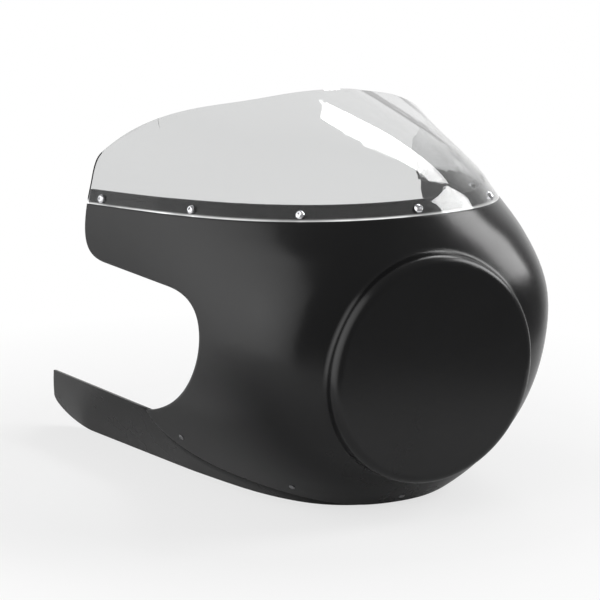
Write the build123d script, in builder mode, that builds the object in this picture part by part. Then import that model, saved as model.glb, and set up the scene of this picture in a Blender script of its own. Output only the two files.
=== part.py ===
"""Headlight cowl for a cafe racer: moulded shell with a lamp boss, clear screen and chin panel.

Millimetres. The origin is the centre of the lamp boss's flat face, the front is -Y and up is +Z.
The cowl is drawn as level sections of one envelope that runs from the chin to the top of the screen.
Shell, screen and chin panel are layers of that envelope, trimmed by side profiles.
"""

import os
from functools import cache
from math import exp, sqrt

from build123d import *

# Walls and clearances
shell_wall = 3.0
screen_wall = 3.0
chin_wall = 3.0
seat_clearance = 0.2
seam_clearance = 0.3

# Heights of the level sections that drive the envelope
belt_height = 36.0
rim_height = 153.0
keel_height = -159.0
crest_height = 250.0
dome_top = 252.0
hull_top = 210.0

# Nose line: how far the envelope's front lies behind the boss face
nose_at_belt = 6.0
nose_at_rim = 39.0
nose_at_keel = 75.0
chin_power = 4.0
dome_sweep = 150.0
dome_power = 2.6

# Half width at the flank station, and how far back that station lies
flank_station = 330.0
half_at_belt = 212.0
half_at_rim = 197.0
half_at_keel = 147.0
keel_power = 2.2
dome_spread = 0.2

# Fullness of the nose curve, as shares of the half width and of the flank's length
front_at_belt = 0.98
front_at_rim = 0.63
front_at_keel = 0.67
front_at_crest = 0.28
side_at_belt = 0.88
side_at_rim = 0.69
side_at_keel = 0.67

# Sideways spread of the flank for each millimetre towards the rear
flare_at_belt = 0.09
flare_at_rim = 0.15
flare_at_keel = 0.16
dome_flare = 0.0084
dome_ease = 8.0

# Lamp boss
boss_face_radius = 109.0
boss_shoulder = 9.0
boss_draft = 2.0
boss_depth = 60.0
boss_blend = 5.0

# Rim, flange and screen trim, in side view
rim_at_axis = 155.7
rim_fall = 0.0963
flange_height = 15.0
joggle = 4.0
rear_edge = 372.0
screen_tail_height = 145.0
screen_edge = ((346.0, 186.0), (316.0, 219.0), (268.0, 238.0))
screen_edge_rise = 0.4
screen_edge_front = 237.0

# Handlebar cut-out, in side view
cutout_top = 65.0
cutout_front = 141.0
cutout_front_height = 26.0
cutout_corner = 47.0
cutout_corner_ease = 12.0
cutout_round = 60.0
cutout_round_ease = 24.0
cutout_throat_ease = 27.0
cutout_heel = 42.0
cutout_heel_slope = 0.25
shell_tail = 284.0
wing_top = -89.0

# Shell's lower edge, chin panel and wings, in side view
lower_edge_mid = 194.0
lower_edge_mid_height = -134.0
lower_edge_sweep = 48.0
lower_edge_slope = 0.125
lower_edge_dip = lower_edge_slope * lower_edge_sweep
lower_edge_front_height = -156.0
wing_tail = 498.0
wing_tail_height = -124.0
wing_rake = 24.0
wing_round = 46.0
wing_round_ease = 16.0
chin_overlap = 30.0
chin_overlap_sweep = 90.0

# Screen screws: button heads through screen and flange into washers and nuts
screw_diameter = 5.0
screw_hole = 5.5
screw_head = 9.5
screw_head_height = 2.75
screw_head_rim = 0.5
screw_head_flat = 4.6
screw_head_dome = 5.0
screw_socket = 3.0
screw_socket_depth = 1.6
screw_chamfer = 0.5
screw_tail = 1.5
screw_line = 7.0
screw_stations = (84.0, 198.0, 347.0)
washer_diameter = 10.0
washer_hole = 5.3
washer_thickness = 1.0
nut_width = 8.0
nut_height = 4.0
nut_chamfer = 0.4
thread_clearance = 0.1
head_clearance = 0.2

# Chin rivets: domed blind rivets through shell and chin panel
rivet_diameter = 3.2
rivet_hole = 3.6
rivet_head = 6.5
rivet_head_height = 1.2
rivet_head_rim = 0.3
rivet_head_dome = 4.5
rivet_mandrel = 1.8
rivet_mandrel_depth = 0.9
rivet_set_diameter = 5.2
rivet_set_height = 2.4
rivet_stations = ((233.0, -108.0), (95.0, -132.0))
front_rivet_height = -147.0

# Reach of the trimming shapes beyond the cowl
margin = 30.0
rear_reach = wing_tail + 2 * margin
half_span = half_at_belt + flare_at_keel * rear_reach
probe = 0.01
curve_steps = 6


def blended(height, at_belt, at_rim, at_keel, power=2.0):
    """Value that is at_belt on the belt and curves away to at_rim above and at_keel below."""
    if height > belt_height:
        share = (height - belt_height) / (rim_height - belt_height)
        return at_belt + (at_rim - at_belt) * share**2
    share = (belt_height - height) / (belt_height - keel_height)
    return at_belt + (at_keel - at_belt) * share**power


def nose(height):
    """Front of the envelope on the centre line: chin, hull and swept dome."""
    if height <= rim_height:
        return blended(height, nose_at_belt, nose_at_rim, nose_at_keel, chin_power)
    rim_rake = 2 * (nose_at_rim - nose_at_belt) / (rim_height - belt_height)
    rise = height - rim_height
    share = rise / (crest_height - rim_height)
    return nose_at_rim + rim_rake * rise + dome_sweep * share**dome_power


def section(height):
    """Half a level section: the nose curve's four control points, then the rear end of the flank."""
    front = nose(height)
    hull = min(height, rim_height)
    rise = height - hull
    eased = rise - dome_ease * (1 - exp(-rise / dome_ease))
    rim_slope = 2 * (half_at_rim - half_at_belt) / (rim_height - belt_height)
    back = flank_station + front - nose(hull)
    half = blended(hull, half_at_belt, half_at_rim, half_at_keel, keel_power)
    half += rim_slope * (rise - eased) + dome_spread * eased
    flare = blended(hull, flare_at_belt, flare_at_rim, flare_at_keel) + dome_flare * eased
    front_share = blended(hull, front_at_belt, front_at_rim, front_at_keel)
    front_share += (front_at_crest - front_at_rim) * eased / (crest_height - rim_height)
    nose_handle = front_share * half
    side_handle = blended(hull, side_at_belt, side_at_rim, side_at_keel) * (back - front)
    return (
        Vector(0, front),
        Vector(nose_handle, front),
        Vector(half - flare * side_handle, back - side_handle),
        Vector(half, back),
        Vector(half + flare * (rear_reach - back), rear_reach),
    )


def outline(height, share):
    """Point on a level section: the nose curve for shares up to one, then the flank up to two."""
    start, handle, side, end, rear = section(height)
    if share > 1:
        return end + (rear - end) * (share - 1)
    rest = 1 - share
    near = start * rest**3 + handle * (3 * rest**2 * share)
    return near + side * (3 * rest * share**2) + end * share**3


def layer_point(height, share, inset):
    """Point of the layer that lies inset below the outer surface, at the same height."""
    along = outline(height, share + probe) - outline(height, share - probe)
    inwards = Vector(-along.Y, along.X).normalized()
    lean = (outline(height + probe, share) - outline(height - probe, share)).dot(inwards) / (2 * probe)
    return outline(height, share) + inwards * (inset * sqrt(1 + lean**2))


def between(low, high, steps):
    """Evenly spaced heights from low up to, and without, high."""
    return [low + (high - low) * step / steps for step in range(steps)]


levels = (
    between(keel_height - margin / 2, belt_height, 7)
    + between(belt_height, rim_height, 5)
    + between(rim_height, dome_top, 9)
    + [dome_top]
)


def envelope(inset, top):
    """The cowl up to a height as one closed body, with its surface moved inwards by inset."""
    with BuildPart() as body:
        for height in [level for level in levels if level <= top]:
            with BuildSketch(Plane.XY.offset(height)):
                with BuildLine():
                    if inset:
                        front = Vector(0, layer_point(height, 0, inset).Y)
                        shares = [step / curve_steps for step in range(1, curve_steps + 1)]
                        points = [layer_point(height, share, inset) for share in shares]
                        rear = layer_point(height, 2 - probe, inset)
                        curve = Spline(front, *points, tangents=((1, 0), rear - points[-1]))
                    else:
                        *control, rear = section(height)
                        curve = Bezier(*control)
                    Polyline(curve @ 1, rear, (0, rear.Y))
                    mirror(about=Plane.YZ)
                make_face()
        loft()
    return body.part


def seat_on(body, start, outwards):
    """Plane where a line leaves a body, with its Z axis along the body's normal there."""
    point, normal = body.shell().find_intersection_points(Axis(start, outwards))[-1]
    return Plane(origin=point, z_dir=normal)


def seat_pair(body, y, height):
    """The planes on both flanks of a body at one place along them."""
    return [seat_on(body, (0, y, height), (side, 0, 0)) for side in (-1, 1)]


def grip(seat, layer):
    """Distance from a seat, straight in, to the surface of a layer."""
    point, normal = layer.shell().find_intersection_points(Axis(seat.origin, -seat.z_dir))[0]
    return (point - seat.origin).length


def rim_line(y, lift=0):
    """Height of the rim in side view, or of a line parallel to it."""
    return rim_at_axis + lift - rim_fall * y


@cache
def under_rim(lift):
    """Everything below the rim, raised by lift."""
    floor = keel_height - margin
    with BuildPart() as prism:
        with BuildSketch(Plane.YZ):
            with BuildLine():
                Polyline(
                    (-margin, floor),
                    (rear_reach, floor),
                    (rear_reach, rim_line(rear_reach, lift)),
                    (-margin, rim_line(-margin, lift)),
                    close=True,
                )
            make_face()
        extrude(amount=half_span, both=True)
    return prism.part


def boss(inset):
    """Lamp boss: flat round face, rounded shoulder and drafted wall, moved inwards by inset."""
    with BuildPart() as body:
        with BuildSketch(Plane.XY):
            with BuildLine():
                face = Line((0, inset), (boss_face_radius, inset))
                shoulder = JernArc(face @ 1, face % 1, boss_shoulder - inset, 90)
                wall = Line(shoulder @ 1, shoulder @ 1 + (boss_draft, boss_depth - boss_shoulder))
                Polyline(wall @ 1, (0, boss_depth), face @ 0)
            make_face()
        revolve(axis=Axis.Y)
    return body.part


def button_screw(length):
    """Button-head screw along Z, with its head's underside at zero and a hexagon socket."""
    with BuildPart() as body:
        with BuildSketch(Plane.XZ):
            with BuildLine():
                rim = Line((screw_head / 2, 0), (screw_head / 2, screw_head_rim))
                dome = RadiusArc(rim @ 1, (screw_head_flat / 2, screw_head_height), -screw_head_dome)
                Polyline(
                    dome @ 1,
                    (0, screw_head_height),
                    (0, -length),
                    (screw_diameter / 2 - screw_chamfer, -length),
                    (screw_diameter / 2, screw_chamfer - length),
                    (screw_diameter / 2, 0),
                    rim @ 0,
                )
            make_face()
        revolve(axis=Axis.Z)
        with BuildSketch(Plane.XY.offset(screw_head_height)):
            RegularPolygon(screw_socket / 2, 6, major_radius=False)
        extrude(amount=-screw_socket_depth, mode=Mode.SUBTRACT)
    return body.part


def hex_nut():
    """Hexagon nut hanging below zero, with its corners chamfered."""
    with BuildPart() as body:
        Cylinder(nut_width / sqrt(3), nut_height, align=(Align.CENTER, Align.CENTER, Align.MAX))
        chamfer(body.edges().filter_by(GeomType.CIRCLE), nut_chamfer)
        with BuildSketch():
            RegularPolygon(nut_width / 2, 6, major_radius=False)
        extrude(amount=-nut_height, mode=Mode.INTERSECT)
        with BuildSketch():
            Circle((screw_diameter + thread_clearance) / 2)
        extrude(amount=-nut_height, mode=Mode.SUBTRACT)
    return body.part


def blind_rivet(grip):
    """Domed blind rivet along Z, with its head's underside at zero and its set end behind the grip."""
    with BuildPart() as body:
        with BuildSketch(Plane.XZ):
            with BuildLine():
                rim = Line((rivet_head / 2, 0), (rivet_head / 2, rivet_head_rim))
                dome = RadiusArc(rim @ 1, (rivet_mandrel / 2, rivet_head_height), -rivet_head_dome)
                Polyline(
                    dome @ 1,
                    (rivet_mandrel / 2, rivet_head_height - rivet_mandrel_depth),
                    (0, rivet_head_height - rivet_mandrel_depth),
                    (0, -grip - rivet_set_height),
                    (rivet_diameter / 2, -grip - rivet_set_height),
                    (rivet_set_diameter / 2, -grip - rivet_set_height / 2),
                    (rivet_set_diameter / 2, -grip),
                    (rivet_diameter / 2, -grip),
                    (rivet_diameter / 2, 0),
                    rim @ 0,
                )
            make_face()
        revolve(axis=Axis.Z)
    return body.part


# Layers of the envelope that seat on each other
outside = envelope(0, dome_top)
screen_inside = envelope(screen_wall, dome_top)
shell_inside_layer = envelope(shell_wall, hull_top)
flange_front = envelope(screen_wall + seat_clearance, hull_top)
flange_back = envelope(screen_wall + seat_clearance + shell_wall, hull_top)
chin_front = envelope(shell_wall + seat_clearance, hull_top)
chin_back = envelope(shell_wall + seat_clearance + chin_wall, hull_top)

# Seats of the screws and rivets on the outer surface
screw_seats = [seat_on(outside, (0, rear_edge, rim_line(nose_at_rim, screw_line)), (0, -1, 0))]
for y in screw_stations:
    screw_seats += seat_pair(outside, y, rim_line(y, screw_line))
rivet_seats = [seat_on(outside, (0, rear_edge, front_rivet_height), (0, -1, 0))]
for y, height in rivet_stations:
    rivet_seats += seat_pair(outside, y, height)
screw_grip = max(grip(seat, flange_back) for seat in screw_seats)
washer_seats = [seat.offset(-grip(seat, flange_back) - head_clearance) for seat in screw_seats]

# Shell: hull layer below the rim, joggled flange above it, lamp boss, cut-outs
with BuildPart() as flange_core:
    add(flange_front)
    add(under_rim(flange_height), mode=Mode.INTERSECT)

with BuildPart() as shell_inside:
    add(shell_inside_layer)
    add(under_rim(-joggle), mode=Mode.INTERSECT)
    add(boss(shell_wall))
    fillet(shell_inside.edges(Select.NEW), boss_blend + shell_wall)

with BuildPart() as shell:
    add(outside)
    add(under_rim(0), mode=Mode.INTERSECT)
    add(flange_core.part)
    add(boss(0))
    fillet(shell.edges(Select.NEW), boss_blend)
    with BuildSketch(Plane.YZ):
        with BuildLine():
            rear = Line((rear_edge, rim_line(rear_edge, margin)), (rear_edge, cutout_top + cutout_corner))
            corner = Bezier(
                rear @ 1,
                (rear_edge, cutout_top + cutout_corner_ease),
                (rear_edge - cutout_corner_ease, cutout_top),
                (rear_edge - cutout_corner, cutout_top),
            )
            throat = Bezier(
                (cutout_front + cutout_round, cutout_top),
                (cutout_front + cutout_round_ease, cutout_top),
                (cutout_front, cutout_front_height + cutout_throat_ease),
                (cutout_front, cutout_front_height),
            )
            Line(corner @ 1, throat @ 0)
            heel = Bezier(
                throat @ 1,
                (cutout_front, cutout_front_height - cutout_heel),
                (shell_tail - 2 * cutout_heel, wing_top + 2 * cutout_heel * cutout_heel_slope),
                (shell_tail, wing_top),
            )
            tail = Bezier(
                heel @ 1,
                (shell_tail, (wing_top + lower_edge_mid_height) / 2),
                (lower_edge_mid + lower_edge_sweep, lower_edge_mid_height + lower_edge_dip),
                (lower_edge_mid, lower_edge_mid_height),
            )
            hem = Bezier(
                tail @ 1,
                (lower_edge_mid - lower_edge_sweep, lower_edge_mid_height - lower_edge_dip),
                (nose_at_keel + lower_edge_sweep / 2, lower_edge_mid_height - lower_edge_dip),
                (nose_at_keel, lower_edge_front_height),
            )
            Polyline(
                hem @ 1,
                (-margin, lower_edge_front_height - margin / 2),
                (-margin, rim_line(-margin, margin)),
                rear @ 0,
            )
        make_face()
    extrude(amount=half_span, both=True, mode=Mode.INTERSECT)
    add(flange_back, mode=Mode.SUBTRACT)
    add(shell_inside.part, mode=Mode.SUBTRACT)
    with Locations(*screw_seats):
        Cylinder(screw_hole / 2, margin, mode=Mode.SUBTRACT)
    with Locations(*rivet_seats):
        Cylinder(rivet_hole / 2, margin, mode=Mode.SUBTRACT)

# Windscreen: dome layer above the rim, trimmed to the swept top edge
with BuildPart() as windscreen:
    add(outside)
    with BuildSketch(Plane.YZ):
        with BuildLine():
            rear = Line((rear_edge, rim_line(rear_edge, seam_clearance)), (rear_edge, screen_tail_height))
            crest = Spline(
                rear @ 1,
                *screen_edge,
                (screen_edge_front, crest_height),
                tangents=(rear % 1, (-1, screen_edge_rise)),
            )
            Polyline(
                crest @ 1,
                (-margin, crest_height + screen_edge_rise * (screen_edge_front + margin)),
                (-margin, rim_line(-margin, seam_clearance)),
                rear @ 0,
            )
        make_face()
    extrude(amount=half_span, both=True, mode=Mode.INTERSECT)
    add(screen_inside, mode=Mode.SUBTRACT)
    with Locations(*screw_seats):
        Cylinder(screw_hole / 2, margin, mode=Mode.SUBTRACT)

# Chin panel: layer inside the shell's lower edge, with a wing each side
with BuildPart() as chin_panel:
    add(chin_front)
    with BuildSketch(Plane.YZ):
        with BuildLine():
            top = Line((shell_tail, wing_top), (wing_tail - wing_rake, wing_top))
            tail = Line(top @ 1, (wing_tail, wing_tail_height))
            heel = Bezier(
                tail @ 1,
                tail @ 1 + (tail % 1) * wing_round_ease,
                (wing_tail - wing_round_ease, keel_height),
                (wing_tail - wing_round, keel_height),
            )
            bottom = Line(heel @ 1, (-margin, keel_height))
            lap = Bezier(
                top @ 0,
                (shell_tail - chin_overlap_sweep, wing_top),
                (nose_at_keel + chin_overlap_sweep, lower_edge_front_height + chin_overlap),
                (0, lower_edge_front_height + chin_overlap),
            )
            Polyline(lap @ 1, (-margin, lower_edge_front_height + chin_overlap), bottom @ 1)
        make_face()
    extrude(amount=half_span, both=True, mode=Mode.INTERSECT)
    add(chin_back, mode=Mode.SUBTRACT)
    with Locations(*rivet_seats):
        Cylinder(rivet_hole / 2, margin, mode=Mode.SUBTRACT)

# Screws with washers and nuts behind the flange
screw_length = screw_grip + washer_thickness + nut_height + screw_tail
with BuildPart() as windscreen_screws:
    with Locations(*[seat.offset(head_clearance) for seat in screw_seats]):
        add(button_screw(screw_length))

with BuildPart() as windscreen_washers:
    for seat in washer_seats:
        with BuildSketch(seat):
            Circle(washer_diameter / 2)
            Circle(washer_hole / 2, mode=Mode.SUBTRACT)
        extrude(amount=-washer_thickness)

with BuildPart() as windscreen_nuts:
    with Locations(*[seat.offset(-washer_thickness) for seat in washer_seats]):
        add(hex_nut())

# Rivets that hold the chin panel inside the shell
with BuildPart() as chin_rivets:
    for seat in rivet_seats:
        with Locations(seat.offset(head_clearance)):
            add(blind_rivet(grip(seat, chin_back) + 2 * head_clearance))

os.makedirs("parts", exist_ok=True)
shell.part.label = "shell"
export_step(shell.part, "parts/shell.step")
windscreen.part.label = "windscreen"
export_step(windscreen.part, "parts/windscreen.step")
chin_panel.part.label = "chin_panel"
export_step(chin_panel.part, "parts/chin_panel.step")
windscreen_screws.part.label = "windscreen_screws"
export_step(windscreen_screws.part, "parts/windscreen_screws.step")
windscreen_washers.part.label = "windscreen_washers"
export_step(windscreen_washers.part, "parts/windscreen_washers.step")
windscreen_nuts.part.label = "windscreen_nuts"
export_step(windscreen_nuts.part, "parts/windscreen_nuts.step")
chin_rivets.part.label = "chin_rivets"
export_step(chin_rivets.part, "parts/chin_rivets.step")
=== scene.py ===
# %% [markdown]
# # A headlight cowl for a cafe racer
#
# The object is a glossy black half fairing. It has a raised round face for the lamp, a clear screen that
# is screwed to a flange, and a chin panel with a wing along each side. The shapes come from the solids.
# This lesson gives them their finishes, a white studio and the camera of the photograph.

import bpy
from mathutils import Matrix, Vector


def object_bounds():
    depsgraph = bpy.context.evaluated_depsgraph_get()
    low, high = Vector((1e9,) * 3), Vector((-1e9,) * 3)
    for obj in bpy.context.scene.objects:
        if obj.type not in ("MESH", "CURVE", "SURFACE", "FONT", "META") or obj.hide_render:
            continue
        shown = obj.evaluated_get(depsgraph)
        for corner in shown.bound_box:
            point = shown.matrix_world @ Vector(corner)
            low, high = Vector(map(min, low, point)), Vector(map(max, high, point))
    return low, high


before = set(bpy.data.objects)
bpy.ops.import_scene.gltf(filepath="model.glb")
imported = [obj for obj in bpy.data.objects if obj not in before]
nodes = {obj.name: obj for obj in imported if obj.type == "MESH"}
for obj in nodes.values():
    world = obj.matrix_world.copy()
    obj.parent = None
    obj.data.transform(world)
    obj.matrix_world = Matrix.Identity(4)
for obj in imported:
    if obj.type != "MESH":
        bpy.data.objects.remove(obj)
cad_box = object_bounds()
print("pieces:", sorted(nodes))

# %% Tools for the next cells
from math import cos, radians, sin

import bpy
from mathutils import Matrix, Vector

print("Blender", bpy.app.version_string)

# %% [markdown]
# ## Node helpers
#
# A material is a small graph of nodes. Three short helpers keep the graphs readable: one places a node and
# sets its sockets by name, one joins values with a Math node, and one starts a node group and names what
# goes in and comes out.


# %% Place a node
def place(tree, kind, at, group=None, **values):
    """A new node at a spot in the graph, with its group, if it is a group node, and sockets set by name."""
    node = tree.nodes.new(kind)
    node.location = at
    if group:
        node.node_tree = group
    for name, value in values.items():
        node.inputs[name.replace("_", " ")].default_value = value
    return node


print("helper:", place.__name__)


# %% Join values
def combine(tree, operation, at, *values):
    """The result of a Math node that takes linked values in their order."""
    node = place(tree, "ShaderNodeMath", at)
    node.operation = operation
    for socket, value in zip(node.inputs, values):
        tree.links.new(value, socket)
    return node.outputs["Value"]


print("helper:", combine.__name__)


# %% Start a node group
def start_group(name, inputs, outputs):
    """An empty shader node group with named value sockets, and its two end nodes."""
    tree = bpy.data.node_groups.new(name, "ShaderNodeTree")
    for label, value in inputs.items():
        socket = tree.interface.new_socket(label, in_out="INPUT", socket_type="NodeSocketFloat")
        socket.default_value = value
    for label in outputs:
        tree.interface.new_socket(label, in_out="OUTPUT", socket_type="NodeSocketFloat")
    start = place(tree, "NodeGroupInput", (-900, 0))
    end = place(tree, "NodeGroupOutput", (600, 0))
    return tree, start, end


print("helper:", start_group.__name__)

# %% [markdown]
# ## Moulded gloss
#
# A moulded panel is never a perfect mirror. Its skin has a faint ripple, like the peel of an orange, and its
# gloss drifts a little from place to place. Painting that by hand would take pictures, so two noises in the
# object's own coordinates do it: a fine one for the ripple and a broad one for the gloss.

# %% Ripple and uneven gloss
moulded_gloss, start, end = start_group(
    "Moulded gloss",
    {"Ripple Scale": 160.0, "Gloss Scale": 9.0, "Smoothest": 0.1, "Roughest": 0.2},
    ["Roughness", "Height"],
)
spot = place(moulded_gloss, "ShaderNodeTexCoord", (-700, 200))
ripple = place(moulded_gloss, "ShaderNodeTexNoise", (-400, 250), Detail=2.0, Roughness=0.4)
drift = place(moulded_gloss, "ShaderNodeTexNoise", (-400, -50), Detail=4.0, Roughness=0.6)
spread = place(moulded_gloss, "ShaderNodeMapRange", (-100, -50), From_Min=0.3, From_Max=0.7)
wire = moulded_gloss.links.new
wire(spot.outputs["Object"], ripple.inputs["Vector"])
wire(spot.outputs["Object"], drift.inputs["Vector"])
wire(start.outputs["Ripple Scale"], ripple.inputs["Scale"])
wire(start.outputs["Gloss Scale"], drift.inputs["Scale"])
wire(drift.outputs["Fac"], spread.inputs["Value"])
wire(start.outputs["Smoothest"], spread.inputs["To Min"])
wire(start.outputs["Roughest"], spread.inputs["To Max"])
wire(spread.outputs["Result"], end.inputs["Roughness"])
wire(ripple.outputs["Fac"], end.inputs["Height"])
print("group:", moulded_gloss.name)

# %% [markdown]
# ## Settled dust
#
# A panel on a workshop shelf gathers a little dust on whatever faces up. Single grains are too fine to
# model, so dust is a mask: the normal's Z says how far a spot faces up, and a noise breaks the film into
# patches. The group only puts out that mask, and each material decides what dust does to it.

# %% Dust mask
settled_dust, start, end = start_group("Settled dust", {"Amount": 0.05, "Patch Scale": 30.0}, ["Mask"])
spot = place(settled_dust, "ShaderNodeTexCoord", (-700, 200))
facing = place(settled_dust, "ShaderNodeNewGeometry", (-700, -150))
parts = place(settled_dust, "ShaderNodeSeparateXYZ", (-450, -150))
upward = place(settled_dust, "ShaderNodeMapRange", (-250, -150), From_Min=0.2, From_Max=1.0)
patches = place(settled_dust, "ShaderNodeTexNoise", (-450, 200), Detail=6.0, Roughness=0.7)
patched = combine(settled_dust, "MULTIPLY", (0, 50), upward.outputs["Result"], patches.outputs["Fac"])
scaled = combine(settled_dust, "MULTIPLY", (250, 50), patched, start.outputs["Amount"])
wire = settled_dust.links.new
wire(spot.outputs["Object"], patches.inputs["Vector"])
wire(start.outputs["Patch Scale"], patches.inputs["Scale"])
wire(facing.outputs["Normal"], parts.inputs["Vector"])
wire(parts.outputs["Z"], upward.inputs["Value"])
wire(scaled, end.inputs["Mask"])
print("group:", settled_dust.name)

# %% [markdown]
# ## Metal grain
#
# Screws, nuts and rivets are too small for a visible brushing direction. A fine speckle in gloss and height
# is enough to keep their highlights from looking like glass.

# %% Speckled gloss
metal_grain, start, end = start_group(
    "Metal grain", {"Grain Scale": 900.0, "Smoothest": 0.15, "Roughest": 0.3}, ["Roughness", "Height"]
)
spot = place(metal_grain, "ShaderNodeTexCoord", (-700, 0))
speckle = place(metal_grain, "ShaderNodeTexNoise", (-400, 0), Detail=3.0, Roughness=0.6)
spread = place(metal_grain, "ShaderNodeMapRange", (-100, 0), From_Min=0.3, From_Max=0.7)
wire = metal_grain.links.new
wire(spot.outputs["Object"], speckle.inputs["Vector"])
wire(start.outputs["Grain Scale"], speckle.inputs["Scale"])
wire(speckle.outputs["Fac"], spread.inputs["Value"])
wire(start.outputs["Smoothest"], spread.inputs["To Min"])
wire(start.outputs["Roughest"], spread.inputs["To Max"])
wire(spread.outputs["Result"], end.inputs["Roughness"])
wire(speckle.outputs["Fac"], end.inputs["Height"])
print("group:", metal_grain.name)

# %% [markdown]
# ## Material helpers
#
# Every finish starts from one surface shader and takes its unevenness from the groups. Four helpers do what
# the finishes need: start a material, use a group with its own values, mix two colours by a mask, and turn
# a height into a bump.


# %% Start a material
def start_material(name):
    """A new material, its graph and its surface shader."""
    material = bpy.data.materials.new(name)
    material.use_nodes = True
    shader = material.node_tree.nodes["Principled BSDF"]
    return material, material.node_tree, shader


print("helper:", start_material.__name__)


# %% Use a group in a material
def use_group(tree, group, at, **values):
    """A node group placed in a material, with its own values."""
    return place(tree, "ShaderNodeGroup", at, group=group, **values)


print("helper:", use_group.__name__)


# %% Mix two colours
def mix_colours(tree, at, mask, bare, covered):
    """The colour that a mask mixes from two: bare at zero, covered at one."""
    node = place(tree, "ShaderNodeMix", at)
    node.data_type = "RGBA"
    colour_sockets = [socket for socket in node.inputs if socket.type == "RGBA"]
    for socket, colour in zip(colour_sockets, (bare, covered)):
        socket.default_value = (*colour, 1)
    tree.links.new(mask, node.inputs["Factor"])
    return next(socket for socket in node.outputs if socket.type == "RGBA")


print("helper:", mix_colours.__name__)


# %% Raise a bump
def raise_bump(tree, height, shader, strength, distance):
    """A bump node that feeds a height into the shader's normal."""
    bump = place(tree, "ShaderNodeBump", (-300, -350), Strength=strength, Distance=distance)
    tree.links.new(height, bump.inputs["Height"])
    tree.links.new(bump.outputs["Normal"], shader.inputs["Normal"])
    return bump


print("helper:", raise_bump.__name__)

# %% [markdown]
# ## Black panels
#
# Shell and chin panel are black plastic with a deep gloss. The colour is nearly black, and almost all that
# the eye sees is what the skin mirrors. The gloss group drives roughness and bump, and the dust mask lifts
# the colour a little where the panel faces up. A moulding has no knife edges. Rounding them in the mesh
# would change the solids, so a bevel node eases the normal near every edge instead.

# %% A black gloss panel
dust_colour = (0.32, 0.31, 0.29)


def black_panel(name, colour, smoothest, roughest, dust_amount, edge_radius):
    """Black moulded plastic with ripple, uneven gloss, eased edges and a trace of dust."""
    material, tree, shader = start_material(name)
    shader.inputs["Specular IOR Level"].default_value = 0.36
    gloss = use_group(tree, moulded_gloss, (-600, -200), Smoothest=smoothest, Roughest=roughest)
    dust = use_group(tree, settled_dust, (-600, 150), Amount=dust_amount)
    tint = mix_colours(tree, (-300, 200), dust.outputs["Mask"], colour, dust_colour)
    tree.links.new(tint, shader.inputs["Base Color"])
    tree.links.new(gloss.outputs["Roughness"], shader.inputs["Roughness"])
    bump = raise_bump(tree, gloss.outputs["Height"], shader, strength=0.03, distance=0.0004)
    eased = place(tree, "ShaderNodeBevel", (-600, -450), Radius=edge_radius)
    eased.samples = 6
    tree.links.new(eased.outputs["Normal"], bump.inputs["Normal"])
    return material


deep_black = (0.0035, 0.0035, 0.0038)
soft_black = (0.004, 0.004, 0.0043)
shell_black = black_panel(
    "Gloss black", deep_black, smoothest=0.2, roughest=0.28, dust_amount=0.01, edge_radius=0.004
)
chin_black = black_panel(
    "Chin black", soft_black, smoothest=0.22, roughest=0.32, dust_amount=0.01, edge_radius=0.0015
)
print("materials:", shell_black.name, chin_black.name)

# %% [markdown]
# ## Painted shade in the seam
#
# The chin panel lies inside the shell's hem, and that step shades a thin strip of it. The shade is painted:
# a mask dulls the panel's gloss to a dark line just below the hem. An occlusion node would darken the
# panel near the floor as well. Seen from the side the hem is one curve, so a curve node turns a spot's
# distance from the front into the hem's height there. The curve's points are the shell's lowest ones at a
# few stations, and the rear end of the hem. Most of the chin panel's gloss is a coat, and the mask takes
# that coat away just below the hem.

# %% Read the hem from the shell
hem_stations = (0.075, 0.09, 0.13, 0.194, 0.22, 0.245, 0.265, 0.278)
station_reach = 0.004
hem_top = -0.08
shell_points = [vertex.co for vertex in nodes["shell"].data.vertices]
hem_points = []
for station in hem_stations:
    nearby = [point for point in shell_points if abs(point.y - station) < station_reach]
    hem_points.append(min(nearby, key=lambda point: point.z))
low_points = [point for point in shell_points if point.z < hem_top]
hem_points.append(max(low_points, key=lambda point: point.y))
print("hem:", [(round(point.y, 4), round(point.z, 4)) for point in hem_points])

# %% Painted shade at the hem, full gloss farther down
# A curve node works from 0 to 1, so these two lengths, in metres, scale its axes.
hem_length = 0.5
hem_depth = 0.2
# The mask for the painted shade: zero at the hem, one a line's width below it.
shade_below_hem, start, end = start_group("Painted shade below the hem", {"Line Width": 0.016}, ["Clean"])
spot = place(shade_below_hem, "ShaderNodeTexCoord", (-900, 0))
parts = place(shade_below_hem, "ShaderNodeSeparateXYZ", (-700, 0))
along = place(shade_below_hem, "ShaderNodeMapRange", (-500, 150), From_Min=0.0, From_Max=hem_length)
hem = place(shade_below_hem, "ShaderNodeFloatCurve", (-300, 150))
for point in hem_points:
    hem.mapping.curves[0].points.new(point.y / hem_length, 1 + point.z / hem_depth)
hem.mapping.update()
height = place(shade_below_hem, "ShaderNodeMapRange", (-50, 150), To_Min=-hem_depth, To_Max=0.0)
drop = combine(shade_below_hem, "SUBTRACT", (150, 100), height.outputs["Result"], parts.outputs["Z"])
unshaded = place(shade_below_hem, "ShaderNodeMapRange", (350, 100))
wire = shade_below_hem.links.new
wire(spot.outputs["Object"], parts.inputs["Vector"])
wire(parts.outputs["Y"], along.inputs["Value"])
wire(along.outputs["Result"], hem.inputs["Value"])
wire(hem.outputs["Value"], height.inputs["Value"])
wire(drop, unshaded.inputs["Value"])
wire(start.outputs["Line Width"], unshaded.inputs["From Max"])
wire(unshaded.outputs["Result"], end.inputs["Clean"])
print("group:", shade_below_hem.name)

# %% Painted shade along the chin panel's seam
tree = chin_black.node_tree
shader = tree.nodes["Principled BSDF"]
seam = use_group(tree, shade_below_hem, (-300, 450))
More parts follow.
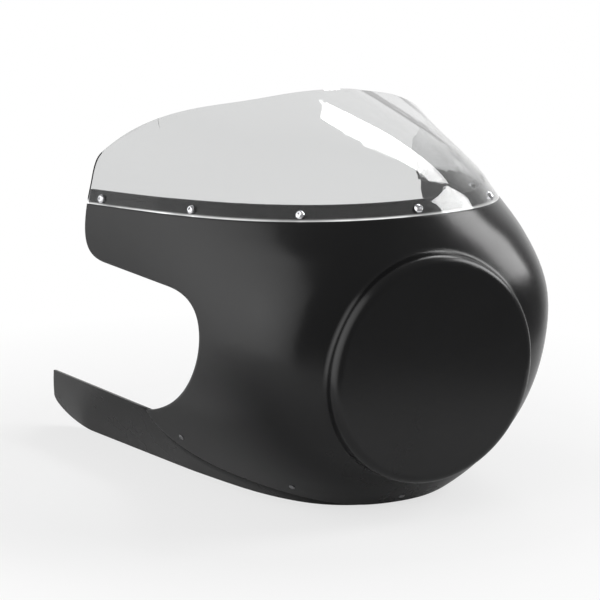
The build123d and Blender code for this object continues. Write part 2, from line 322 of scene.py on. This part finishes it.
# Painted shade: the mask takes the coat away where the hem shades the panel.
tree.links.new(seam.outputs["Clean"], shader.inputs["Coat Weight"])
shader.inputs["Specular IOR Level"].default_value = 0.03
shader.inputs["Coat IOR"].default_value = 1.24
shader.inputs["Coat Roughness"].default_value = 0.27
print("seam in:", chin_black.name)

# %% [markdown]
# ## Painted glow at the polished edge
#
# A clear sheet gathers light and lets it out at its cut edges. On the photograph this is the bright line
# along the screen's lower edge. Tracing that light through the sheet would take very many rays, so a mask
# marks the edge and a little emission stands for the light. The rim falls evenly towards the rear, so the
# height above it is a short sum, and a noise lets the line come and go a little.

# %% Edge mask
edge_glow, start, end = start_group(
    "Painted edge glow", {"Rim Height": 0.156, "Rim Fall": 0.0963, "Line Width": 0.0022}, ["Mask"]
)
spot = place(edge_glow, "ShaderNodeTexCoord", (-900, 250))
parts = place(edge_glow, "ShaderNodeSeparateXYZ", (-700, 250))
depth, level = parts.outputs["Y"], parts.outputs["Z"]
levelled = combine(edge_glow, "MULTIPLY_ADD", (-500, 150), depth, start.outputs["Rim Fall"], level)
above_rim = combine(edge_glow, "SUBTRACT", (-300, 150), levelled, start.outputs["Rim Height"])
line = place(edge_glow, "ShaderNodeMapRange", (-100, 150), To_Min=1.0, To_Max=0.0)
line.interpolation_type = "SMOOTHSTEP"
breaks = place(edge_glow, "ShaderNodeTexNoise", (-500, -150), Scale=14.0, Detail=3.0)
uneven = place(edge_glow, "ShaderNodeMapRange", (-100, -150), From_Min=0.3, From_Max=0.6, To_Min=0.3)
masked = combine(edge_glow, "MULTIPLY", (250, 0), line.outputs["Result"], uneven.outputs["Result"])
wire = edge_glow.links.new
wire(spot.outputs["Object"], parts.inputs["Vector"])
wire(spot.outputs["Object"], breaks.inputs["Vector"])
wire(above_rim, line.inputs["Value"])
wire(start.outputs["Line Width"], line.inputs["From Max"])
wire(breaks.outputs["Fac"], uneven.inputs["Value"])
wire(masked, end.inputs["Mask"])
print("group:", edge_glow.name)

# %% [markdown]
# ## Clear screen
#
# The screen is a formed sheet of acrylic. It is a closed solid with a real wall, so a transmitting shader
# with acrylic's index bends light at both faces by itself, which plain transparency would not. Where the eye
# looks along the sheet, light has a longer way through it, so the colour darkens towards the outline. The
# edge mask adds the bright line as a painted glow.

# %% Clear acrylic
straight_through = (0.7, 0.705, 0.705, 1)
along_the_sheet = (0.3, 0.305, 0.31, 1)
no_light = (0, 0, 0)
edge_light = (0.5, 0.5, 0.5)
clear_acrylic, tree, shader = start_material("Clear acrylic")
shader.inputs["Transmission Weight"].default_value = 1.0
shader.inputs["IOR"].default_value = 1.49
shader.inputs["Emission Strength"].default_value = 1.0
slant = place(tree, "ShaderNodeLayerWeight", (-900, 200), Blend=0.25)
through = place(tree, "ShaderNodeValToRGB", (-600, 250))
first, last = through.color_ramp.elements
first.position = 0.3
first.color = straight_through
last.color = along_the_sheet
gloss = use_group(tree, moulded_gloss, (-600, -200), Smoothest=0.005, Roughest=0.03, Ripple_Scale=60.0)
raise_bump(tree, gloss.outputs["Height"], shader, strength=0.005, distance=0.0003)
edge = use_group(tree, edge_glow, (-600, 0))
# Painted glow: emission along the lower edge stands for light that the sheet lets out there.
glow = mix_colours(tree, (-300, 50), edge.outputs["Mask"], no_light, edge_light)
wire = tree.links.new
wire(slant.outputs["Facing"], through.inputs["Fac"])
wire(through.outputs["Color"], shader.inputs["Base Color"])
wire(gloss.outputs["Roughness"], shader.inputs["Roughness"])
wire(glow, shader.inputs["Emission Color"])
print("material:", clear_acrylic.name)

# %% [markdown]
# ## Fasteners
#
# The screws are bright plated, the nuts and washers behind the flange are plain zinc, and the blind rivets
# are dull aluminium. They share the grain group and differ in colour and gloss, so one function makes all
# three metals.


# %% A plated or bare metal
def fastener_metal(name, colour, smoothest, roughest):
    """Metal with a fine speckle in its gloss."""
    material, tree, shader = start_material(name)
    shader.inputs["Base Color"].default_value = (*colour, 1)
    shader.inputs["Metallic"].default_value = 1.0
    grain = use_group(tree, metal_grain, (-600, -200), Smoothest=smoothest, Roughest=roughest)
    tree.links.new(grain.outputs["Roughness"], shader.inputs["Roughness"])
    raise_bump(tree, grain.outputs["Height"], shader, strength=0.05, distance=0.0001)
    return material


bright_plate = fastener_metal("Bright plate", (0.72, 0.72, 0.74), smoothest=0.08, roughest=0.2)
zinc_plate = fastener_metal("Zinc plate", (0.55, 0.56, 0.58), smoothest=0.25, roughest=0.4)
dull_aluminium = fastener_metal("Dull aluminium", (0.33, 0.33, 0.34), smoothest=0.3, roughest=0.45)
print("metals:", bright_plate.name, zinc_plate.name, dull_aluminium.name)

# %% [markdown]
# ## Dress the pieces
#
# Each piece keeps the mesh of its solid and only takes a material, so nothing moves and no size changes.

# %% Assign the materials
finishes = {
    "shell": shell_black,
    "windscreen": clear_acrylic,
    "chin_panel": chin_black,
    "windscreen_screws": bright_plate,
    "windscreen_washers": zinc_plate,
    "windscreen_nuts": zinc_plate,
    "chin_rivets": dull_aluminium,
}
for name, material in finishes.items():
    mesh = nodes[name].data
    mesh.materials.clear()
    mesh.materials.append(material)
    print(name, "->", material.name)

# %% [markdown]
# ## White studio
#
# The photograph has a plain white ground. More light would bleach the cowl, so white comes from the kind of
# ray instead. The camera and clear pieces see the world as plain white, and mirrors see it white where a
# backdrop would hang, behind the cowl. All other sides of the studio give a modest fill. Near the cowl the
# floor is a plain pale surface that keeps the shadow, and farther out it is white as well.


# %% Kinds of ray
def ray_masks(tree):
    """A mask for rays from the camera and through clear pieces, and one for rays off mirrors."""
    path = place(tree, "ShaderNodeLightPath", (-1100, 300))
    direct = combine(
        tree, "MAXIMUM", (-900, 300), path.outputs["Is Camera Ray"], path.outputs["Is Transmission Ray"]
    )
    return direct, path.outputs["Is Glossy Ray"]


print("helper:", ray_masks.__name__)

# %% World with a backdrop
backdrop_side = (0.5, 0.866, 0.0)
fill_strength = 0.3
world = bpy.data.worlds.new("White studio")
bpy.context.scene.world = world
world.use_nodes = True
tree = world.node_tree
background = tree.nodes["Background"]
background.inputs["Color"].default_value = (1, 1, 1, 1)
spot = place(tree, "ShaderNodeTexCoord", (-1100, -100))
behind = place(tree, "ShaderNodeVectorMath", (-900, -100))
behind.operation = "DOT_PRODUCT"
behind.inputs[1].default_value = backdrop_side
backdrop = place(tree, "ShaderNodeMapRange", (-700, -100), From_Min=0.5, From_Max=0.85)
direct, off_mirrors = ray_masks(tree)
mirrored = combine(tree, "MULTIPLY", (-500, 100), off_mirrors, backdrop.outputs["Result"])
white = combine(tree, "MAXIMUM", (-300, 300), direct, mirrored)
strength = place(tree, "ShaderNodeMapRange", (-100, 300), To_Min=fill_strength, To_Max=1.0)
wire = tree.links.new
wire(spot.outputs["Generated"], behind.inputs[0])
wire(behind.outputs["Value"], backdrop.inputs["Value"])
wire(white, strength.inputs["Value"])
wire(strength.outputs["Result"], background.inputs["Strength"])
print("world:", world.name)

# %% Round floor
floor_height = cad_box[0][2]
floor_gap = 0.0005
floor_radius = 0.72
middle_depth = 0.25
bpy.ops.mesh.primitive_circle_add(
    vertices=96, radius=floor_radius, fill_type="NGON", location=(0, middle_depth, floor_height - floor_gap)
)
floor = bpy.context.object
floor.name = "Studio floor"
print("floor at", round(floor_height, 4))

# %% Pale near the cowl, white farther out
near_whiteness = 0.7
pale_floor, tree, shader = start_material("Pale floor")
shader.inputs["Base Color"].default_value = (0.66, 0.66, 0.66, 1)
shader.inputs["Roughness"].default_value = 0.9
shader.inputs["Specular IOR Level"].default_value = 0.0
spot = place(tree, "ShaderNodeTexCoord", (-1100, -100))
away = place(tree, "ShaderNodeVectorMath", (-900, -100))
away.operation = "LENGTH"
farther = place(tree, "ShaderNodeMapRange", (-700, -100), From_Min=0.35, From_Max=0.68)
shade = place(tree, "ShaderNodeMapRange", (-500, -100), To_Min=near_whiteness)
direct, off_mirrors = ray_masks(tree)
seen = combine(tree, "MULTIPLY", (-300, 300), direct, shade.outputs["Result"])
mirrored = combine(tree, "MULTIPLY", (-300, 100), off_mirrors, farther.outputs["Result"])
white = combine(tree, "MAXIMUM", (0, 200), seen, mirrored)
plain = place(tree, "ShaderNodeEmission", (0, -300), Strength=1.0)
pick = place(tree, "ShaderNodeMixShader", (300, 0))
wire = tree.links.new
wire(spot.outputs["Object"], away.inputs[0])
wire(away.outputs["Value"], farther.inputs["Value"])
wire(farther.outputs["Result"], shade.inputs["Value"])
wire(white, pick.inputs["Fac"])
wire(shader.outputs["BSDF"], pick.inputs[1])
wire(plain.outputs["Emission"], pick.inputs[2])
wire(pick.outputs["Shader"], tree.nodes["Material Output"].inputs["Surface"])
floor.data.materials.append(pale_floor)
print("material:", pale_floor.name)

# %% [markdown]
# ## Soft boxes
#
# Black gloss shows the lamps rather than being lit by them, so each lamp is placed by what the panels
# mirror. A wide box on the near side, whose light is held together by a grid, draws the soft grey band down
# the flank. One on the far side gives the bright patch beside the lamp face, and one behind it draws the
# white band over the screen. The near box would show as a hard edge in the clear sheet, so light linking
# leaves the screen out.


# %% A soft box
def soft_box(name, location, target, width, height, power, spread=180):
    """A rectangular area lamp that looks at a target, with its light spread over an angle in degrees."""
    lamp = bpy.data.lights.new(name, "AREA")
    lamp.shape = "RECTANGLE"
    lamp.size = width
    lamp.size_y = height
    lamp.energy = power
    lamp.spread = radians(spread)
    box = bpy.data.objects.new(name, lamp)
    box.location = location
    box.rotation_euler = (Vector(target) - Vector(location)).to_track_quat("-Z", "Y").to_euler()
    bpy.context.collection.objects.link(box)
    return box


middle = (0, 0.2, 0.04)
near_box = soft_box("Near side box", (-1.77, 0.2, 0.5), middle, width=5.4, height=3.4, power=64, spread=128)
soft_box("Far side box", (1.39, -0.36, 0.8), middle, width=0.8, height=1.0, power=20)
soft_box("Rear box", (0.94, 0.69, 1.35), middle, width=1.3, height=0.36, power=11)
print("lamps:", [lamp.name for lamp in bpy.data.lights])

# %% Keep the near box off the screen
passed_by = bpy.data.collections.new("Passed by the near box")
passed_by.objects.link(nodes["windscreen"])
passed_by.collection_objects[0].light_linking.link_state = "EXCLUDE"
near_box.light_linking.receiver_collection = passed_by

# %% [markdown]
# ## Camera
#
# The camera stands some three metres off with a long lens, a little above the cowl and turned towards its
# near side, as in the photograph. Its place follows from the angles and from where the lamp face's centre
# sits in the picture.

# %% Place the camera
picture = 600
distance = 3.008
focal_pixels = 3000.0
face_in_picture = (436.4, 371.7)
turn, tilt, roll = radians(29.8), radians(13.6), radians(1.05)
towards = Vector((-sin(turn) * cos(tilt), -cos(turn) * cos(tilt), sin(tilt)))
level_right = Vector((cos(turn), -sin(turn), 0))
level_up = towards.cross(level_right)
right = level_right * cos(roll) + level_up * sin(roll)
up = level_up * cos(roll) - level_right * sin(roll)
across = (face_in_picture[0] - picture / 2) * distance / focal_pixels
above = (picture / 2 - face_in_picture[1]) * distance / focal_pixels
lens = bpy.data.cameras.new("Photo camera")
lens.sensor_width = 36.0
lens.lens = focal_pixels / picture * lens.sensor_width
camera = bpy.data.objects.new("Photo camera", lens)
axes = Matrix((right, up, towards)).transposed().to_4x4()
camera.matrix_world = Matrix.Translation(towards * distance - right * across - up * above) @ axes
bpy.context.collection.objects.link(camera)
bpy.context.scene.camera = camera
bpy.context.scene.view_settings.view_transform = "Standard"
print("camera at", [round(v, 3) for v in camera.location])
